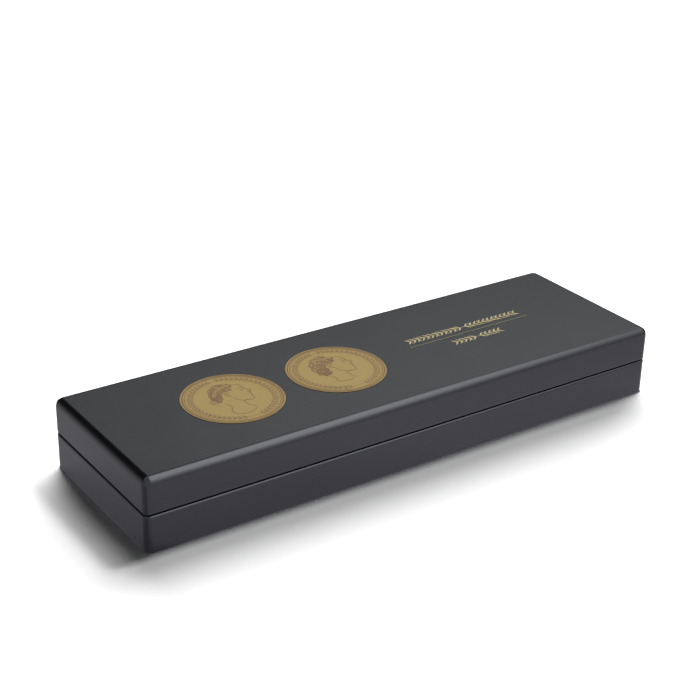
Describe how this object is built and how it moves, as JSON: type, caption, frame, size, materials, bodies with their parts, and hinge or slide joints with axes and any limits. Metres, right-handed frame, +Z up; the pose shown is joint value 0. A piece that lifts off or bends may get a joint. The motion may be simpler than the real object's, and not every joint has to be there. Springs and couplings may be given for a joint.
{
  "type": "coin case",
  "caption": "Long low black lacquered presentation case for coins, with a hinged lid, a velvet tray with round recesses, a padded lid lining and gold printing on top.",
  "frame": {"origin": "middle of the underside of the base, on the surface that the case stands on", "axes": "+X along the length, to the right when the case is read from its opening side; -Y towards the opening side; the hinges are at +Y; +Z up"},
  "size_m": [0.24, 0.0784, 0.0306],
  "materials": {
    "black_lacquer": "satin black lacquer over fine fibreboard",
    "lacquered_board": "thin matt black lacquer on fine fibreboard",
    "felt": "black pressed felt",
    "velvet": "black velvet with a soft sheen",
    "card": "plain grey card",
    "satin": "ivory satin cloth over thin foam",
    "nickel": "nickel-plated magnet",
    "brass": "polished brass",
    "gold_print": "satin gold screen print",
    "bronze_print": "brown-bronze screen print lines"
  },
  "bodies": {
    "base": {"base_front_rail": "black_lacquer", "base_back_rail": "black_lacquer", "base_left_rail": "black_lacquer", "base_right_rail": "black_lacquer", "base_bottom_panel": "lacquered_board", "underside_felt": "felt", "tray_floor_board": "velvet", "tray_recess_board": "velvet", "base_left_magnet": "nickel", "base_right_magnet": "nickel", "left_hinge_base_leaf": "brass", "left_hinge_pin": "brass", "right_hinge_base_leaf": "brass", "right_hinge_pin": "brass", "base_left_hinge_left_screw": "brass", "base_left_hinge_right_screw": "brass", "base_right_hinge_left_screw": "brass", "base_right_hinge_right_screw": "brass"},
    "lid": {"lid_top_panel": "black_lacquer", "lid_front_rail": "black_lacquer", "lid_back_rail": "black_lacquer", "lid_left_rail": "black_lacquer", "lid_right_rail": "black_lacquer", "lid_lining_card": "card", "lid_lining_pad": "satin", "lid_left_magnet": "nickel", "lid_right_magnet": "nickel", "left_hinge_lid_leaf": "brass", "right_hinge_lid_leaf": "brass", "lid_left_hinge_left_screw": "brass", "lid_left_hinge_right_screw": "brass", "lid_right_hinge_left_screw": "brass", "lid_right_hinge_right_screw": "brass", "print_left_medallion": "gold_print", "print_right_medallion": "gold_print", "print_left_head": "bronze_print", "print_right_head": "bronze_print", "print_rule": "gold_print", "print_upper_spray": "gold_print", "print_lower_spray": "gold_print"}
  },
  "joints": [
    {"name": "lid_hinge", "type": "hinge", "parent": "base", "child": "lid", "pos_m": [0, 0.0392, 0.01555], "axis": [-1, 0, 0], "range_deg": [0, 95]}
  ]
}
